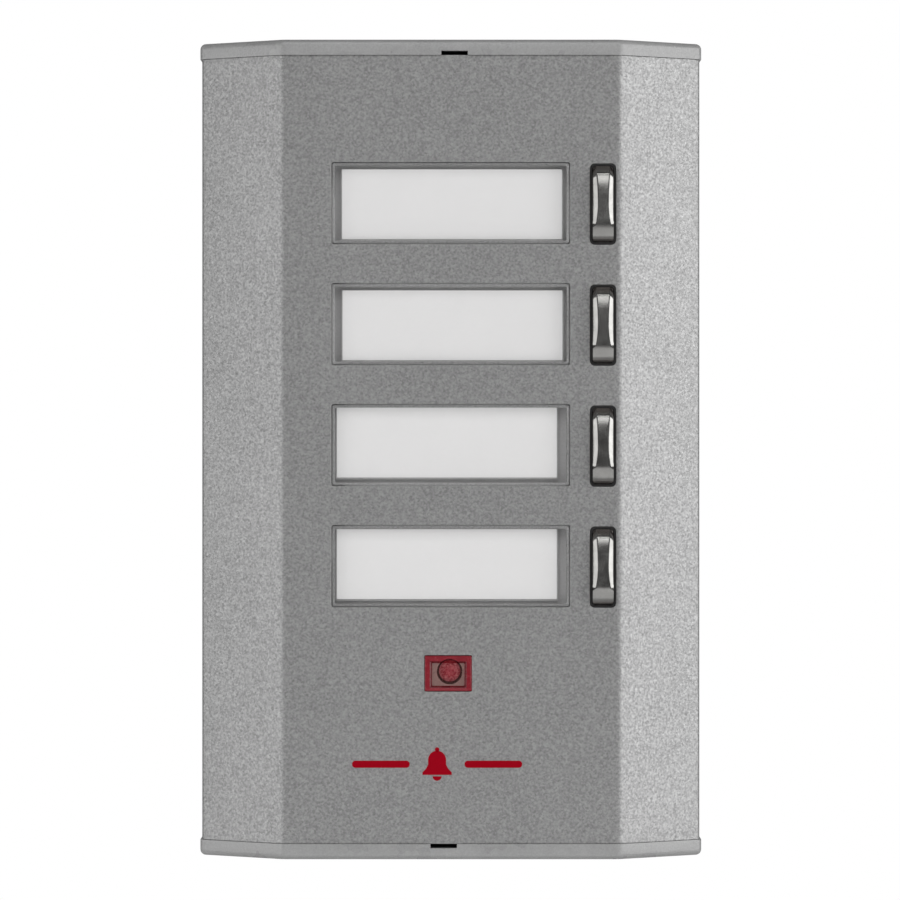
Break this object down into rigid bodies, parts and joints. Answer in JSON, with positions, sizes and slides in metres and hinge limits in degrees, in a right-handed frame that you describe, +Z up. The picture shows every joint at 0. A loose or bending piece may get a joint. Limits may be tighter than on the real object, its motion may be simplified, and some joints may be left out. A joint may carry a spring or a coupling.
{
  "type": "door intercom panel",
  "caption": "Surface-mounted door call panel: bevelled silver-grey extrusion, end caps, lit name windows, sprung metal call keys and a red indicator.",
  "frame": {"origin": "centre of the panel's back, on the wall plane", "axes": "+X to the viewer's right, +Y into the wall, +Z up; the face looks along -Y"},
  "size_m": [0.1072, 0.0281, 0.1736],
  "materials": {
    "silver_paint": "fine sparkle silver-grey paint, satin",
    "cap_plastic": "silver-grey moulded plastic, satin",
    "dark_abs": "dark grey moulded plastic",
    "black_rubber": "black rubber",
    "dark_grey_plastic": "grey moulded plastic",
    "black_plastic": "black moulded plastic",
    "board_laminate": "green solder resist on glass-fibre board",
    "zinc_steel": "bright zinc-plated steel",
    "terminal_plastic": "green moulded plastic",
    "nickel_brass": "nickel-plated brass",
    "resistor_body": "lacquered resistor body",
    "black_epoxy": "black epoxy",
    "capacitor_sleeve": "dark blue shrink sleeve",
    "led_white": "phosphor-filled lens",
    "red_clear": "clear red polycarbonate",
    "red_led": "red tinted epoxy lens",
    "clear_plastic": "clear polycarbonate",
    "card_paper": "off-white name card",
    "opal_plastic": "opal light diffuser",
    "plated_metal": "worn nickel plating",
    "spring_steel": "spring wire",
    "switch_plunger_plastic": "black acetal"
  },
  "bodies": {
    "panel": {"front_profile": "silver_paint", "wall_plate": "dark_abs", "cable_grommet": "black_rubber", "window_carrier": "dark_grey_plastic", "key_guide": "black_plastic", "circuit_board": "board_laminate", "board_screws": "zinc_steel", "terminal_block": "terminal_plastic", "terminal_clamps": "nickel_brass", "terminal_screws": "zinc_steel", "resistors": "resistor_body", "diodes": "black_epoxy", "capacitor": "capacitor_sleeve", "backlight_leds": "led_white", "indicator_window": "red_clear", "indicator_led": "red_led", "led_spacer": "black_plastic", "name_window_1": "clear_plastic", "name_window_2": "clear_plastic", "name_window_3": "clear_plastic", "name_window_4": "clear_plastic", "name_card_1": "card_paper", "name_card_2": "card_paper", "name_card_3": "card_paper", "name_card_4": "card_paper", "card_holder_1": "dark_grey_plastic", "card_holder_2": "dark_grey_plastic", "card_holder_3": "dark_grey_plastic", "card_holder_4": "dark_grey_plastic", "light_diffuser_1": "opal_plastic", "light_diffuser_2": "opal_plastic", "light_diffuser_3": "opal_plastic", "light_diffuser_4": "opal_plastic", "return_spring_1": "spring_steel", "return_spring_2": "spring_steel", "return_spring_3": "spring_steel", "return_spring_4": "spring_steel", "switch_body_1": "black_plastic", "switch_body_2": "black_plastic", "switch_body_3": "black_plastic", "switch_body_4": "black_plastic"},
    "top_end_cap": {"top_cap": "cap_plastic"},
    "bottom_end_cap": {"bottom_cap": "cap_plastic"},
    "call_key_1": {"key_cap_1": "plated_metal", "key_carrier_1": "black_plastic"},
    "switch_actuator_1": {"switch_plunger_1": "switch_plunger_plastic"},
    "call_key_2": {"key_cap_2": "plated_metal", "key_carrier_2": "black_plastic"},
    "switch_actuator_2": {"switch_plunger_2": "switch_plunger_plastic"},
    "call_key_3": {"key_cap_3": "plated_metal", "key_carrier_3": "black_plastic"},
    "switch_actuator_3": {"switch_plunger_3": "switch_plunger_plastic"},
    "call_key_4": {"key_cap_4": "plated_metal", "key_carrier_4": "black_plastic"},
    "switch_actuator_4": {"switch_plunger_4": "switch_plunger_plastic"}
  },
  "joints": [
    {"name": "top_cap_pull", "type": "slide", "parent": "panel", "child": "top_end_cap", "axis": [0, 0, 1], "range_m": [0, 0.012]},
    {"name": "bottom_cap_pull", "type": "slide", "parent": "panel", "child": "bottom_end_cap", "axis": [0, 0, -1], "range_m": [0, 0.012]},
    {"name": "key_1_press", "type": "slide", "parent": "panel", "child": "call_key_1", "axis": [0, 1, 0], "range_m": [0, 0.0012], "stiffness_N_per_m": 800, "springref_m": -0.0015, "deforming": ["return_spring_1"]},
    {"name": "switch_1_plunge", "type": "slide", "parent": "panel", "child": "switch_actuator_1", "axis": [0, 1, 0], "range_m": [0, 0.0012]},
    {"name": "key_2_press", "type": "slide", "parent": "panel", "child": "call_key_2", "axis": [0, 1, 0], "range_m": [0, 0.0012], "stiffness_N_per_m": 800, "springref_m": -0.0015, "deforming": ["return_spring_2"]},
    {"name": "switch_2_plunge", "type": "slide", "parent": "panel", "child": "switch_actuator_2", "axis": [0, 1, 0], "range_m": [0, 0.0012]},
    {"name": "key_3_press", "type": "slide", "parent": "panel", "child": "call_key_3", "axis": [0, 1, 0], "range_m": [0, 0.0012], "stiffness_N_per_m": 800, "springref_m": -0.0015, "deforming": ["return_spring_3"]},
    {"name": "switch_3_plunge", "type": "slide", "parent": "panel", "child": "switch_actuator_3", "axis": [0, 1, 0], "range_m": [0, 0.0012]},
    {"name": "key_4_press", "type": "slide", "parent": "panel", "child": "call_key_4", "axis": [0, 1, 0], "range_m": [0, 0.0012], "stiffness_N_per_m": 800, "springref_m": -0.0015, "deforming": ["return_spring_4"]},
    {"name": "switch_4_plunge", "type": "slide", "parent": "panel", "child": "switch_actuator_4", "axis": [0, 1, 0], "range_m": [0, 0.0012]}
  ],
  "couplings": [
    {"joint": "switch_1_plunge", "follows": "key_1_press", "ratio": 1},
    {"joint": "switch_2_plunge", "follows": "key_2_press", "ratio": 1},
    {"joint": "switch_3_plunge", "follows": "key_3_press", "ratio": 1},
    {"joint": "switch_4_plunge", "follows": "key_4_press", "ratio": 1}
  ]
}
